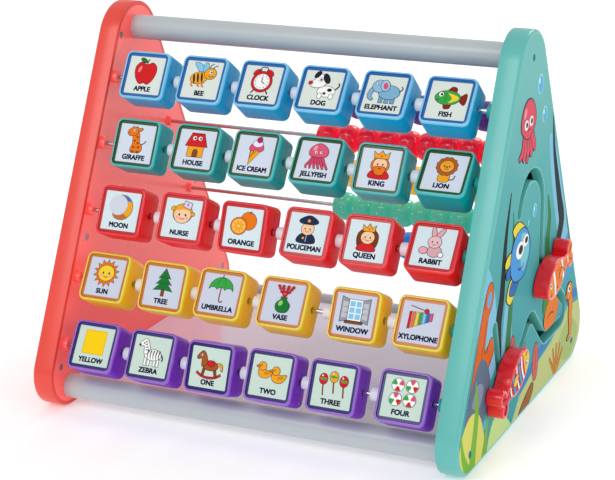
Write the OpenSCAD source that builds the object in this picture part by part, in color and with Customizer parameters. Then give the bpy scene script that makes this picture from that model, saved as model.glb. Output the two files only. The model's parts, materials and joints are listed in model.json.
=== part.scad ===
// Activity triangle for babies: two hollow end panels on three round bars, a tray between them,
// five rows of flip blocks on the front slope, five rows of counting beads on the back slope,
// and two fish that run in a winding track on the right panel.
// Seen from the front, X runs to the right, Y to the back and Z up. The floor is at Z = 0.

/* [Frame] */
// Distance between the axes of the front and back bars
bar_spread = 244; // [240:1:248]
// Height of the top bar's axis above the axes of the two lower bars
bar_rise = 257; // [254:1:260]
// Height of the lower bars' axes above the floor
bar_base = 15.5; // [14:0.5:17]
// Diameter of the round bars
bar_d = 19; // [17:0.5:20]
// Clear width between the two end panels
inner_w = 308; // [306:1:314]

/* [End panels] */
// Thickness of an end panel over shell and cover
panel_t = 17; // [16:0.5:20]
// Radius of the two corners at the feet
foot_r = 26.5; // [25:0.5:28]
// Radius of the crown at the top
crown_r = 32; // [30:0.5:34]
// Height of the crown's centre above the floor
crown_z = 260.5; // [258:0.5:262]
// Wall thickness of the shells
wall = 3; // [2.5:0.5:3.5]
// Thickness of the inner covers
cover_t = 2.5; // [2:0.5:3]

/* [Flip blocks] */
// Width and height of a block's face
block_w = 38; // [36:0.5:38]
// Depth of a block over both half shells
block_d = 24; // [22:0.5:24]
// Distance between neighbouring blocks along a rod
block_pitch = 50; // [49:0.5:51]
// Distance between neighbouring rows on the slope
row_pitch = 52.3; // [51:0.1:53]
// Distance of the lowest row from the front bar's axis, along the slope
row_start = 30; // [29.5:0.5:32]
// Distance of the row rods outwards from the plane through the bar axes
row_out = 18.5; // [17:0.5:20]
// Diameter of the steel rods
rod_d = 3; // [2.5:0.25:3.5]
// Length of a spacer between two blocks
spacer_l = 8; // [6:0.5:8]

/* [Counting beads] */
// Diameter of a bead at its middle
bead_d = 23; // [20:0.5:24]
// Length of a bead along its rod
bead_l = 17; // [14:0.5:17]
// Distance between neighbouring bead rods on the back slope
bead_pitch = 36; // [34:0.5:38]
// Distance of the lowest bead rod from the back bar's axis, along the slope
bead_start = 78; // [74:1:80]
// Distance of the bead rods outwards from the plane through the bar axes
bead_out = 5.5; // [3:0.5:7]

/* [Track and fish] */
// Width of the track's slot
slot_w = 9; // [8:0.5:10]
// Length of a fish from nose to tail
fish_l = 64; // [60:1:68]
// Thickness of a fish
fish_t = 12.5; // [10:0.5:14]

/* [Hidden] */
BEAD_COLOURS = ["purple", "red", "yellow", "green", "blue"];
BLOCK_LETTERS = [
    "a", "b", "c", "d", "e", "f",
    "g", "h", "i", "j", "k", "l",
    "m", "n", "o", "p", "q", "r",
    "s", "t", "u", "v", "w", "x",
    "y", "z", "one", "two", "three", "four"];
FRAME_NODES = [
    "left_shell", "left_cover", "right_shell", "right_cover",
    "top_bar", "front_bar", "back_bar", "base_tray",
    "block_rods", "block_spacers", "bead_rods", "bar_screws", "cover_screws",
    "upper_carriage", "upper_fish", "lower_carriage", "lower_fish"];
$fn = 64;

// Shared clearances
run_gap = 0.1;
part_gap = 0.3;
past = 1;

// The slopes
slope = atan(bar_spread / 2 / bar_rise);
front_bar_y = -bar_spread / 2;
top_bar_z = bar_base + bar_rise;

// The panels. The fish stand proud on the right, so the middle between the panels lies a little
// left of the middle of the whole toy, where the origin is.
fish_gap = 0.8;
mid_x = -(fish_gap + fish_t) / 2;
half_w = inner_w / 2;
outer_x = half_w + panel_t;
foot_y = bar_spread / 2 - 1;
cover_gap = 0.15;
bar_screw_head_d = 5.2;
bar_screw_head_h = 2;
bar_screw_sink = 8;
bar_screw_reach = 12;
screw_d = 2.9;
cover_screw_head_d = 5;
cover_screw_head_h = 1.2;
cover_screw_l = 9;
post_d = 8;
bar_post_d = 11;
boss_d = 9.5;
boss_h = 4;
bead_boss_d = 8;
bead_boss_h = 2.5;
// Cover screws: distance from the middle plane and height, for one half of a panel
COVER_SCREWS = [[24, 270], [88, 125], [133, 34]];

// The bars
bar_wall = 2;
bar_plug_l = 18;

// The tray between the lower bars
tray_top = 20.5;
tray_t = 3;
tray_skirt = 9;
tray_lip = 1;
tray_gap = 0.5;

// The blocks
ROWS = 5;
COLUMNS = 6;
block_r = 5;
block_rim = 2.5;
block_recess = 1.2;
block_wall = 2;
parting_gap = 0.2;
axle_tube_d = 7;
axle_eye_d = 6;
axle_eye_depth = 1;
// Where each block sits on its rod, off its place in the grid, and how far it is turned
BLOCK_SHIFT = [
    [3, 2, 1, 0, -1, -2],
    [6, 7, 6, 6, 5, 4],
    [4, 6, 7, 8, 5, 5],
    [1, 1, -2, -1, 5, 5],
    [2, 1, 0, -1, -2, 1]];
BLOCK_TURN = [
    [5, 8, 11, 13, 16, 14],
    [2, 6, 7, 12, 6, 20],
    [1, 2, -4, 6, 6, 14],
    [7, 2, 7, 8, 1, 7],
    [7, 4, -4, 1, 0, 4]];
ROW_COLOURS = ["deepskyblue", "darkcyan", "crimson", "gold", "mediumpurple"];

// The beads, five to a group and two groups to a rod
GROUP = 5;
bead_gap = 0.3;

// The track's centre line goes round these circles: Y, Z, radius, and 1 for a left turn or -1 for
// a right turn as seen from outside. The first and the last are its ends.
TRACK = [
    [-24, 163, 0, 1],
    [3.5, 157.5, 27.5, -1],
    [43, 115, 12, 1],
    [87, 53, 10, -1],
    [52, 57, 14, -1],
    [10, 60, 12, 1],
    [-46, 48, 14, -1],
    [-74, 92, 0, 1]];
track_skirt_w = 1.5;
track_skirt_depth = 5;
stem_d = slot_w - 0.4;
keeper_d = 14;
keeper_t = 2;
pin_d = 6;
pin_l = 8;
// How far each fish sits from the upper end of the straight run that it slides on, and its tilt
UPPER_RUN = 2;
LOWER_RUN = 6;
upper_fish_from_turn = 8;
lower_fish_from_turn = 6;
upper_fish_tilt = 17;
lower_fish_tilt = 201;

// A point in a side view, [Y, Z], from its distance up the front slope and outwards from it
function front_point(up, out) = [
    front_bar_y + up * sin(slope) - out * cos(slope),
    bar_base + up * cos(slope) + out * sin(slope)];
function back_point(up, out) = [-front_point(up, out)[0], front_point(up, out)[1]];
function row_point(row) = front_point(row_start + (ROWS - 1 - row) * row_pitch, row_out);
function bead_point(row) = back_point(bead_start + (ROWS - 1 - row) * bead_pitch, bead_out);
function block_x(row, column) =
    mid_x + (column - (COLUMNS - 1) / 2) * block_pitch + BLOCK_SHIFT[row][column];

// Corner circles of a panel in a side view, drawn in by the inset: Y, Z and radius
function corner_circles(inset) = [
    [-foot_y, foot_r, foot_r - inset],
    [0, crown_z, crown_r - inset],
    [foot_y, foot_r, foot_r - inset]];

// Track geometry: the heading of the straight run from circle i to the next, and its two ends
function gap_vector(i) = [TRACK[i + 1][0] - TRACK[i][0], TRACK[i + 1][1] - TRACK[i][1]];
function bend(i) = TRACK[i][2] * TRACK[i][3];
function heading(i) =
    atan2(gap_vector(i)[1], gap_vector(i)[0])
    + asin((bend(i) - bend(i + 1)) / norm(gap_vector(i)));
function off_circle(i, angle) = [
    TRACK[i][0] + bend(i) * sin(angle),
    TRACK[i][1] - bend(i) * cos(angle)];
function run_start(i) = off_circle(i, heading(i));
function run_end(i) = off_circle(i + 1, heading(i));
function along_run(i, distance) =
    run_start(i) + distance * [cos(heading(i)), sin(heading(i))];

// How far the track turns round circle i, always in that circle's own direction
function turn_angle(i) =
    TRACK[i][3] > 0
        ? (heading(i) - heading(i - 1) + 720) % 360
        : -((heading(i - 1) - heading(i) + 720) % 360);
arc_step = 10;
function arc_headings(i) =
    let (steps = max(1, ceil(abs(turn_angle(i)) / arc_step)))
    [for (k = [0:steps]) heading(i - 1) + turn_angle(i) * k / steps];
// Centre line as [Y, Z, heading] at each step
track_line = concat(
    [[run_start(0)[0], run_start(0)[1], heading(0)]],
    [for (i = [1:len(TRACK) - 2])
        for (a = arc_headings(i))
            [off_circle(i, a)[0], off_circle(i, a)[1], a]],
    [[run_end(len(TRACK) - 2)[0], run_end(len(TRACK) - 2)[1], heading(len(TRACK) - 2)]]);

// A point beside a point of the centre line, at an angle to its heading
function beside(p, distance, angle) = [
    p[0] + distance * cos(p[2] + angle),
    p[1] + distance * sin(p[2] + angle)];

upper_pin = along_run(UPPER_RUN, upper_fish_from_turn);
lower_pin = along_run(LOWER_RUN, lower_fish_from_turn);

// Draws a side-view outline, [Y, Z], as a plate from x0 to x1
module plate(x0, x1) {
    translate([x0, 0, 0])
        rotate([90, 0, 90])
            linear_extrude(x1 - x0)
                children();
}

// A cylinder along X from x0 to x1 at a side-view point
module rod_x(point, d, x0, x1) {
    translate([x0, point[0], point[1]])
        rotate([0, 90, 0])
            cylinder(d = d, h = x1 - x0);
}

module panel_outline(inset) {
    c = corner_circles(inset);
    run = norm([c[1][0] - c[0][0], c[1][1] - c[0][1]]);
    side = atan2(c[1][1] - c[0][1], c[1][0] - c[0][0]);
    // Direction from a corner's centre to where the front edge touches its circle
    touch = side + acos((c[0][2] - c[1][2]) / run);
    front = [for (k = [0, 1]) [c[k][0] + c[k][2] * cos(touch), c[k][1] + c[k][2] * sin(touch)]];
    polygon([
        [-foot_y, inset],
        [-foot_y, foot_r],
        front[0],
        front[1],
        [0, crown_z],
        [-front[1][0], front[1][1]],
        [-front[0][0], front[0][1]],
        [foot_y, foot_r],
        [foot_y, inset]]);
    for (k = c)
        translate([k[0], k[1]])
            circle(r = k[2]);
}

// The track as a closed outline of the given width, with round ends
module track_outline(width) {
    last = len(track_line) - 1;
    first_point = track_line[0];
    last_point = track_line[last];
    cap_turns = [for (t = [75:-15:-75]) t];
    polygon(concat(
        [for (p = track_line) beside(p, width / 2, 90)],
        [for (t = cap_turns) beside(last_point, width / 2, t)],
        [for (k = [last:-1:0]) beside(track_line[k], width / 2, -90)],
        [for (t = cap_turns) beside(first_point, width / 2, t + 180)]));
}

// Mirrors a right-hand part onto the left panel, about the middle between the panels
module on_side(side) {
    translate([mid_x, 0, 0])
        mirror([side < 0 ? 1 : 0, 0, 0])
            children();
}

function bar_points() = [[front_bar_y, bar_base], [-front_bar_y, bar_base], [0, top_bar_z]];
function cover_screw_points() = [for (s = [-1, 1]) for (p = COVER_SCREWS) [s * p[0], p[1]]];

// An open tray: the outer face, the rim and the screw posts
module shell_tray() {
    cover_x = half_w + cover_t;
    difference() {
        union() {
            difference() {
                plate(half_w, outer_x) panel_outline(0);
                plate(half_w - past, outer_x - wall) panel_outline(wall);
            }
            for (p = bar_points())
                rod_x(p, bar_post_d, cover_x + cover_gap, outer_x - wall / 2);
            for (p = cover_screw_points())
                rod_x(p, post_d, cover_x + cover_gap, outer_x - wall / 2);
        }
        for (p = bar_points()) {
            rod_x(p, bar_screw_head_d + 2 * part_gap, outer_x - bar_screw_sink, outer_x + past);
            rod_x(p, screw_d + 2 * part_gap, half_w, outer_x);
        }
        for (p = cover_screw_points())
            rod_x(p, screw_d + run_gap, half_w, half_w + cover_screw_l + past);
    }
}

// The flat lid inside a shell's rim, with a boss for the end of each rod
module cover_plate() {
    difference() {
        union() {
            plate(half_w, half_w + cover_t) panel_outline(wall + cover_gap);
            for (row = [0:ROWS - 1]) {
                rod_x(row_point(row), boss_d, half_w - boss_h, half_w + cover_t);
                rod_x(bead_point(row), bead_boss_d, half_w - bead_boss_h, half_w + cover_t);
            }
        }
        for (row = [0:ROWS - 1]) {
            rod_x(row_point(row), rod_d + run_gap, half_w - boss_h - past, half_w + cover_t + past);
            rod_x(bead_point(row), rod_d + run_gap, half_w - boss_h - past, half_w + cover_t + past);
        }
        for (p = bar_points())
            rod_x(p, screw_d + 2 * part_gap, half_w - past, half_w + cover_t + past);
        for (p = cover_screw_points()) {
            rod_x(p, screw_d + 2 * part_gap, half_w - past, half_w + cover_t + past);
            rod_x(p, cover_screw_head_d + 2 * part_gap, half_w - past,
                half_w + cover_screw_head_h + part_gap);
        }
    }
}

module left_shell() {
    color("tomato")
        on_side(-1)
            shell_tray();
}

module left_cover() {
    color("salmon")
        on_side(-1)
            cover_plate();
}

// The right shell also carries the track: a slot through its face with a skirt behind it
module right_shell() {
    skirt_x = outer_x - wall - track_skirt_depth;
    color("lightseagreen")
        on_side(1)
            difference() {
                union() {
                    shell_tray();
                    plate(skirt_x, outer_x - wall / 2)
                        track_outline(slot_w + 2 * track_skirt_w);
                }
                plate(skirt_x - past, outer_x + past) track_outline(slot_w);
            }
}

module right_cover() {
    color("mediumturquoise")
        on_side(1)
            cover_plate();
}

// A tube between the panels, closed at both ends by a plug that takes the screw
module bar(point) {
    color("lightsteelblue")
        translate([mid_x, 0, 0])
            difference() {
                rod_x(point, bar_d, -half_w, half_w);
                rod_x(point, bar_d - 2 * bar_wall, bar_plug_l - half_w, half_w - bar_plug_l);
                for (s = [-1, 1])
                    rod_x(point, screw_d + run_gap,
                        s > 0 ? half_w - bar_screw_reach - past : -half_w - past,
                        s > 0 ? half_w + past : -half_w + bar_screw_reach + past);
            }
}

module top_bar() {
    bar([0, top_bar_z]);
}

module front_bar() {
    bar([front_bar_y, bar_base]);
}

module back_bar() {
    bar([-front_bar_y, bar_base]);
}

// The floor of the toy, turned down along its front and back edges behind the bars
module base_tray() {
    lip_up = tray_top - tray_lip - bar_base;
    edge_y = -front_bar_y - sqrt(pow(bar_d / 2, 2) - pow(lip_up, 2)) - part_gap;
    skirt_y = -front_bar_y - bar_d / 2 - part_gap;
    length = inner_w - 2 * tray_gap;
    color("lavender")
        translate([mid_x - length / 2, 0, 0]) {
            translate([0, -skirt_y, tray_top - tray_t])
                cube([length, 2 * skirt_y, tray_t]);
            for (s = [-1, 1])
                translate([0, s > 0 ? skirt_y - tray_t : -skirt_y, tray_top - tray_skirt])
                    cube([length, tray_t, tray_skirt]);
            translate([0, -edge_y, tray_top - tray_lip])
                cube([length, 2 * edge_y, tray_lip]);
        }
}

// Screw with its head at x0, its shank running towards negative X
module screw_x(point, head_d, head_h, head_x, length) {
    rod_x(point, head_d, head_x - head_h, head_x);
    rod_x(point, screw_d, head_x - head_h - length, head_x - head_h / 2);
}

module bar_screws() {
    head_x = outer_x - bar_screw_sink + bar_screw_head_h;
    length = outer_x - bar_screw_sink - half_w + bar_screw_reach;
    color("silver")
        for (s = [-1, 1])
            on_side(s)
                for (p = bar_points())
                    screw_x(p, bar_screw_head_d, bar_screw_head_h, head_x, length);
}

// The cover screws go in from between the panels, so they point outwards
module cover_screws() {
    head_x = half_w + part_gap;
    color("silver")
        for (s = [-1, 1])
            on_side(s)
                for (p = cover_screw_points()) {
                    rod_x(p, cover_screw_head_d, head_x, head_x + cover_screw_head_h - part_gap);
                    rod_x(p, screw_d, head_x + cover_screw_head_h / 2, half_w + cover_screw_l);
                }
}

// Five rods of one slope, their ends in the covers
module rods(points) {
    color("gainsboro")
        translate([mid_x, 0, 0])
            for (p = points)
                rod_x(p, rod_d, -half_w - cover_t, half_w + cover_t);
}

module block_rods() {
    rods([for (row = [0:ROWS - 1]) row_point(row)]);
}

module bead_rods() {
    rods([for (row = [0:ROWS - 1]) bead_point(row)]);
}

// A spacer lies against the left side of every block but the first of its row
module block_spacers() {
    spacer_d = 9.5;
    color("white")
        for (row = [0:ROWS - 1])
            for (column = [1:COLUMNS - 1]) {
                end = block_x(row, column) - block_w / 2 - part_gap;
                difference() {
                    rod_x(row_point(row), spacer_d, end - spacer_l, end);
                    rod_x(row_point(row), rod_d + 2 * run_gap, end - spacer_l - past, end + past);
                }
            }
}

// A square with round corners, centred
module rounded_square(w, r) {
    square([w, w - 2 * r], center = true);
    square([w - 2 * r, w], center = true);
    for (sx = [-1, 1])
        for (sy = [-1, 1])
            translate([sx * (w / 2 - r), sy * (w / 2 - r)])
                circle(r = r, $fn = 32);
}

// A rounded square plate across Y, from y0 to y1
module tile(w, r, y0, y1) {
    translate([0, y1, 0])
        rotate([90, 0, 0])
            linear_extrude(y1 - y0)
                rounded_square(w, r);
}

// One half of a block as an empty tray, its open side at the middle
module block_tray() {
    face = block_d / 2;
    difference() {
        tile(block_w, block_r, -face, -parting_gap / 2);
        tile(block_w - 2 * block_rim, block_r - block_rim, -face - past, -face + block_recess);
        tile(block_w - 2 * block_wall, block_r - block_wall,
            -face + block_recess + block_wall, past);
    }
}

// The eyes in a block's sides, where the rod goes in
module block_eyes() {
    for (s = [-1, 1])
        rod_x([0, 0], axle_eye_d, s > 0 ? block_w / 2 - axle_eye_depth : -block_w / 2 - past,
            s > 0 ? block_w / 2 + past : -block_w / 2 + axle_eye_depth);
}

// Two half shells round one axle tube. The tube belongs to the back half.
module block_body() {
    tube = block_w / 2 - axle_eye_depth;
    difference() {
        block_tray();
        rod_x([0, 0], axle_tube_d + 2 * part_gap, -tube - part_gap, tube + part_gap);
        block_eyes();
    }
    difference() {
        union() {
            rotate([180, 0, 0])
                block_tray();
            rod_x([0, 0], axle_tube_d, -tube, tube);
        }
        rod_x([0, 0], rod_d + 2 * run_gap, -block_w, block_w);
        block_eyes();
    }
}

module block(row, column) {
    p = row_point(row);
    color(ROW_COLOURS[row])
        translate([block_x(row, column), p[0], p[1]])
            rotate([-slope - BLOCK_TURN[row][column], 0, 0])
                block_body();
}

// A barrel bead: the middle of a ball, cut flat at both ends, on its rod
module bead() {
    length = bead_l - bead_gap;
    difference() {
        intersection() {
            sphere(d = bead_d);
            cube([length, bead_d, bead_d], center = true);
        }
        rod_x([0, 0], rod_d + 2 * run_gap, -bead_l, bead_l);
    }
}

// Five beads in a row. The right group rests against the right cover's boss.
module bead_group(row, right_side) {
    p = bead_point(row);
    first = right_side ? 0 : GROUP;
    color(BEAD_COLOURS[row])
        for (k = [first:first + GROUP - 1])
            translate([mid_x + half_w - bead_boss_h - part_gap - (k + 0.5) * bead_l, p[0], p[1]])
                bead();
}

// The stem through the slot, the keeper disc behind the skirt and the pin for the fish
module carriage(pin) {
    keeper_x = outer_x - wall - track_skirt_depth - part_gap;
    color("whitesmoke")
        translate([mid_x, 0, 0]) {
            rod_x(pin, keeper_d, keeper_x - keeper_t, keeper_x);
            rod_x(pin, stem_d, keeper_x - keeper_t, outer_x + fish_gap / 2);
            rod_x(pin, pin_d, outer_x, outer_x + fish_gap + pin_l);
        }
}

// A fish seen from outside, nose to the left: an oval body and a tail
module fish_outline() {
    body_a = 0.36 * fish_l;
    body_b = 0.2 * fish_l;
    nose_at = -fish_l / 2 + body_a;
    lobe_r = 0.1 * fish_l;
    lobe_at = fish_l / 2 - lobe_r;
    translate([nose_at, 0])
        polygon([for (t = [0:6:354]) [body_a * cos(t), body_b * sin(t)]]);
    for (s = [-1, 1])
        translate([lobe_at, s * 0.08 * fish_l])
            circle(r = lobe_r);
    polygon([
        [0, -0.12 * fish_l],
        [lobe_at, -0.06 * fish_l],
        [lobe_at, 0.06 * fish_l],
        [0, 0.12 * fish_l]]);
}

module fish(pin, tilt) {
    back = outer_x + fish_gap;
    color("crimson")
        translate([mid_x, 0, 0])
            difference() {
                translate([0, pin[0], pin[1]])
                    rotate([tilt, 0, 0])
                        plate(back, back + fish_t) fish_outline();
                rod_x(pin, pin_d + 2 * run_gap, back - past, back + pin_l + part_gap);
            }
}

left_shell();
left_cover();
right_shell();
right_cover();
top_bar();
front_bar();
back_bar();
base_tray();
block_rods();
block_spacers();
bead_rods();
bar_screws();
cover_screws();
carriage(upper_pin);  // upper_carriage
fish(upper_pin, upper_fish_tilt);  // upper_fish
carriage(lower_pin);  // lower_carriage
fish(lower_pin, lower_fish_tilt);  // lower_fish
for (row = [0:ROWS - 1]) {
    bead_group(row, false);
    bead_group(row, true);
    for (column = [0:COLUMNS - 1])
        block(row, column);
}
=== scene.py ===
"""Looks for the baby activity triangle. Metres, in the CAD model's own frame."""
import json
import math

import bmesh
import bpy
from mathutils import Matrix, Quaternion, Vector


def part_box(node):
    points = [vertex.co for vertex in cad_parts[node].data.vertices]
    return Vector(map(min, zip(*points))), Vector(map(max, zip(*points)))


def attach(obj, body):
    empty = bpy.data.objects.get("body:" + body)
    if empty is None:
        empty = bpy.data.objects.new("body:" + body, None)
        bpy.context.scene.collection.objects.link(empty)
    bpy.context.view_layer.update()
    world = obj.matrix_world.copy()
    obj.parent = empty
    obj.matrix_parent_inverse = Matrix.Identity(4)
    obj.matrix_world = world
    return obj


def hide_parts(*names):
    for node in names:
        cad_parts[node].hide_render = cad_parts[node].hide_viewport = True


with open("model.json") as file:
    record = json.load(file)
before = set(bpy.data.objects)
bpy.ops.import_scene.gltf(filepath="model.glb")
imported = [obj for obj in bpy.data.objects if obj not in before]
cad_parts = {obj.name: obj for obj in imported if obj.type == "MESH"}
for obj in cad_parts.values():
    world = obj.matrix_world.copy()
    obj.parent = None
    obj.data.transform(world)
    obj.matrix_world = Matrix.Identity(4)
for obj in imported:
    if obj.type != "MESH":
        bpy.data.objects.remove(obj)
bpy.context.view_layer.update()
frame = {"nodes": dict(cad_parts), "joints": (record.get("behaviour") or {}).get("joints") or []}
nodes = frame["nodes"]
joints = {j["name"]: j for j in frame["joints"]}
scene = bpy.context.scene

MM = 0.001


# -------- colours and materials

def rgb(code):
    """A linear colour from a screen colour such as "5BB8DC"."""
    parts = [int(code[i:i + 2], 16) / 255 for i in (0, 2, 4)]
    return [c / 12.92 if c <= 0.04045 else ((c + 0.055) / 1.055) ** 2.4 for c in parts] + [1.0]


# What the gloss adds to every colour channel under the studio light
GLOSS = 0.035
# The sheen of printed ink, which is nearly dull
PRINT_SHINE = 0.02


def shade(colour, factor):
    return [min(1.0, c * factor) for c in colour[:3]] + [1.0]


def new_material(name):
    material = bpy.data.materials.new(name)
    material.use_nodes = True
    tree = material.node_tree
    return material, tree, tree.nodes["Principled BSDF"]


def add_node(tree, kind, **values):
    """A shader node with some of its inputs and properties set by name."""
    node = tree.nodes.new(kind)
    for key, value in values.items():
        if key in node.inputs:
            node.inputs[key].default_value = value
        else:
            setattr(node, key, value)
    return node


def settle(node, **values):
    """Sets inputs of a shader node, their names written with _ for a space."""
    for key, value in values.items():
        node.inputs[key.replace("_", " ")].default_value = value


def wire(tree, node, output, target, socket):
    tree.links.new(node.outputs[output], target.inputs[socket])


def place_coordinates(tree, scale=(1.0, 1.0, 1.0)):
    place = tree.nodes.new("ShaderNodeTexCoord")
    mapping = add_node(tree, "ShaderNodeMapping", Scale=scale)
    wire(tree, place, "Object", mapping, "Vector")
    return mapping.outputs["Vector"]


def add_noise(tree, vector, **values):
    noise = add_node(tree, "ShaderNodeTexNoise", **values)
    tree.links.new(vector, noise.inputs["Vector"])
    return noise


def colour_ramp(tree, node, output, *stops):
    """A ramp with a colour at each position, fed by an output of a node."""
    ramp = tree.nodes.new("ShaderNodeValToRGB")
    elements = ramp.color_ramp.elements
    for k, (position, colour) in enumerate(stops):
        stop = elements[k] if k < 2 else elements.new(1.0)
        stop.position, stop.color = position, colour
    wire(tree, node, output, ramp, "Fac")
    return ramp


def vary_colour(tree, bsdf, vector, colour, spread, scale):
    """A slow drift of the colour, as moulded plastic and print have."""
    noise = add_noise(tree, vector, Scale=scale, Detail=3.0)
    ramp = colour_ramp(tree, noise, "Fac",
                       (0.3, shade(colour, 1 - spread)), (0.7, shade(colour, 1 + spread)))
    wire(tree, ramp, "Color", bsdf, "Base Color")


def vary_roughness(tree, bsdf, vector, low, high, scale):
    """Fine rubbing and finger marks in the gloss."""
    noise = add_noise(tree, vector, Scale=scale, Detail=6.0, Roughness=0.6)
    spread = tree.nodes.new("ShaderNodeMapRange")
    settle(spread, To_Min=low, To_Max=high)
    wire(tree, noise, "Fac", spread, "Value")
    wire(tree, spread, "Result", bsdf, "Roughness")


def plastic(name, code, rough=0.28, coat=0.1, spread=0.04, painted_glow=0.0, shine=0.5):
    """Moulded toy plastic: a faint orange peel, a slow colour drift and uneven gloss. Its glow is
    painted light: emission in its own colour that brightens it though it is no lamp.
    """
    material, tree, bsdf = new_material(name)
    colour = [max(0.0, c - GLOSS) for c in rgb(code)[:3]] + [1.0]
    vector = place_coordinates(tree)
    vary_colour(tree, bsdf, vector, colour, spread, 18.0)
    vary_roughness(tree, bsdf, vector, rough - 0.03, rough + 0.04, 60.0)
    peel = add_noise(tree, vector, Scale=900.0, Detail=2.0)
    bump = add_node(tree, "ShaderNodeBump", Strength=0.12, Distance=0.00015)
    wire(tree, peel, "Fac", bump, "Height")
    wire(tree, bump, "Normal", bsdf, "Normal")
    # The emission below is painted light, not a lamp.
    settle(bsdf, Specular_IOR_Level=shine, Coat_Weight=coat, Coat_Roughness=0.12,
           Emission_Color=colour, Emission_Strength=painted_glow)
    return material


def printed(name, code, rough=0.38, grain=0.03):
    """Ink on a sticker: flat colour with a fine screen grain."""
    material, tree, bsdf = new_material(name)
    vector = place_coordinates(tree)
    vary_colour(tree, bsdf, vector, rgb(code), grain, 1600.0)
    vary_roughness(tree, bsdf, vector, rough - 0.05, rough + 0.05, 300.0)
    settle(bsdf, Specular_IOR_Level=PRINT_SHINE)
    return material


def steel(name, code="C9CCD0", rough=0.14):
    """Drawn steel: fine streaks along X."""
    material, tree, bsdf = new_material(name)
    vector = place_coordinates(tree, (40.0, 3000.0, 3000.0))
    vary_colour(tree, bsdf, vector, rgb(code), 0.08, 1.0)
    vary_roughness(tree, bsdf, vector, rough - 0.08, rough + 0.1, 1.0)
    settle(bsdf, Metallic=1.0)
    return material


def glitter_plastic(name, code, flake_code, amount):
    """Clear tinted plastic with bright flakes in it, and a painted glow: emission in the tint's own
    colour that brightens the beads though they are no lamp.
    """
    material, tree, bsdf = new_material(name)
    vector = place_coordinates(tree)
    cells = add_node(tree, "ShaderNodeTexVoronoi", Scale=700.0)
    tree.links.new(vector, cells.inputs["Vector"])
    pick = tree.nodes.new("ShaderNodeSeparateColor")
    wire(tree, cells, "Color", pick, "Color")
    flakes = colour_ramp(tree, pick, "Red", (0.0, rgb(code)), (1 - amount, rgb(flake_code)))
    flakes.color_ramp.interpolation = "CONSTANT"
    wire(tree, flakes, "Color", bsdf, "Base Color")
    vary_roughness(tree, bsdf, vector, 0.08, 0.2, 200.0)
    # The emission here is painted glow that lifts the beads out of their shade.
    settle(bsdf, Coat_Weight=0.3, Coat_Roughness=0.05, Subsurface_Weight=0.3,
           Subsurface_Radius=(0.006, 0.006, 0.006), Emission_Color=rgb(code), Emission_Strength=0.5)
    return material


def sea_print(name, low_z, high_z):
    """The printed water of the right panel: deep teal below, paler towards the crown."""
    material, tree, bsdf = new_material(name)
    place = tree.nodes.new("ShaderNodeTexCoord")
    axes = tree.nodes.new("ShaderNodeSeparateXYZ")
    wire(tree, place, "Object", axes, "Vector")
    wave = add_noise(tree, place.outputs["Object"], Scale=14.0, Detail=2.0)
    sway = add_node(tree, "ShaderNodeMath", operation="MULTIPLY_ADD")
    sway.inputs[1].default_value = 0.06
    wire(tree, wave, "Fac", sway, 0)
    wire(tree, axes, "Z", sway, 2)
    height = tree.nodes.new("ShaderNodeMapRange")
    settle(height, From_Min=low_z, From_Max=high_z)
    wire(tree, sway, "Value", height, "Value")
    ramp = colour_ramp(tree, height, "Result", (0.0, rgb("2E98A4")), (0.45, rgb("48A4A8")),
                       (0.75, rgb("5AAEAE")), (1.0, rgb("76BEB9")))
    wire(tree, ramp, "Color", bsdf, "Base Color")
    vary_roughness(tree, bsdf, place.outputs["Object"], 0.3, 0.42, 160.0)
    settle(bsdf, Specular_IOR_Level=PRINT_SHINE)
    return material


INK = {}


def ink(code):
    """The printed material of a screen colour, made once."""
    if code not in INK:
        INK[code] = printed("ink_" + code, code)
    return INK[code]


# -------- mesh tools

def finish_mesh(name, bm, materials, angle=35.0):
    bmesh.ops.recalc_face_normals(bm, faces=bm.faces[:])
    mesh = bpy.data.meshes.new(name)
    bm.to_mesh(mesh)
    bm.free()
    for material in materials:
        mesh.materials.append(material)
    mesh.shade_smooth()
    mesh.set_sharp_from_angle(angle=math.radians(angle))
    piece = bpy.data.objects.new(name, mesh)
    scene.collection.objects.link(piece)
    return piece


def stack_rings(bm, rings, materials=None):
    """Joins closed rings of the same number of points by quads, and caps both ends."""
    loops = [[bm.verts.new(p) for p in ring] for ring in rings]
    count = len(loops[0])
    for level in range(len(loops) - 1):
        low, high = loops[level], loops[level + 1]
        for k in range(count):
            n = (k + 1) % count
            face = bm.faces.new((low[k], low[n], high[n], high[k]))
            face.material_index = materials[level] if materials else 0
    for loop, end in ((loops[0][::-1], 0), (loops[-1], -1)):
        face = bm.faces.new(loop)
        face.material_index = materials[end] if materials else 0


def arc(cx, cy, rx, ry, start, end, steps, turn=0.0):
    """Points along an arc, angles in degrees, the oval turned by turn."""
    ct, st = math.cos(math.radians(turn)), math.sin(math.radians(turn))
    points = []
    for k in range(steps + 1):
        a = math.radians(start + (end - start) * k / steps)
        x, y = rx * math.cos(a), ry * math.sin(a)
        points.append((cx + x * ct - y * st, cy + x * st + y * ct))
    return points


def oval(cx, cy, rx, ry=None, turn=0.0, steps=28):
    return arc(cx, cy, rx, rx if ry is None else ry, 0, 360 - 360 / steps, steps - 1, turn)


def smooth_run(four, steps):
    """Points of a smooth curve (Catmull-Rom) from the second of four points up to the third."""
    return [tuple(0.5 * (2 * b + (c - a) * t + (2 * a - 5 * b + 4 * c - d) * t * t
                         + (3 * b - a - 3 * c + d) * t ** 3)
                  for a, b, c, d in zip(*four))
            for t in (k / steps for k in range(steps))]


def blob(*points):
    """A closed smooth curve through the points."""
    n = len(points)
    return [p for i in range(n)
            for p in smooth_run([points[(i + k) % n] for k in (-1, 0, 1, 2)], 4)]


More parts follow.
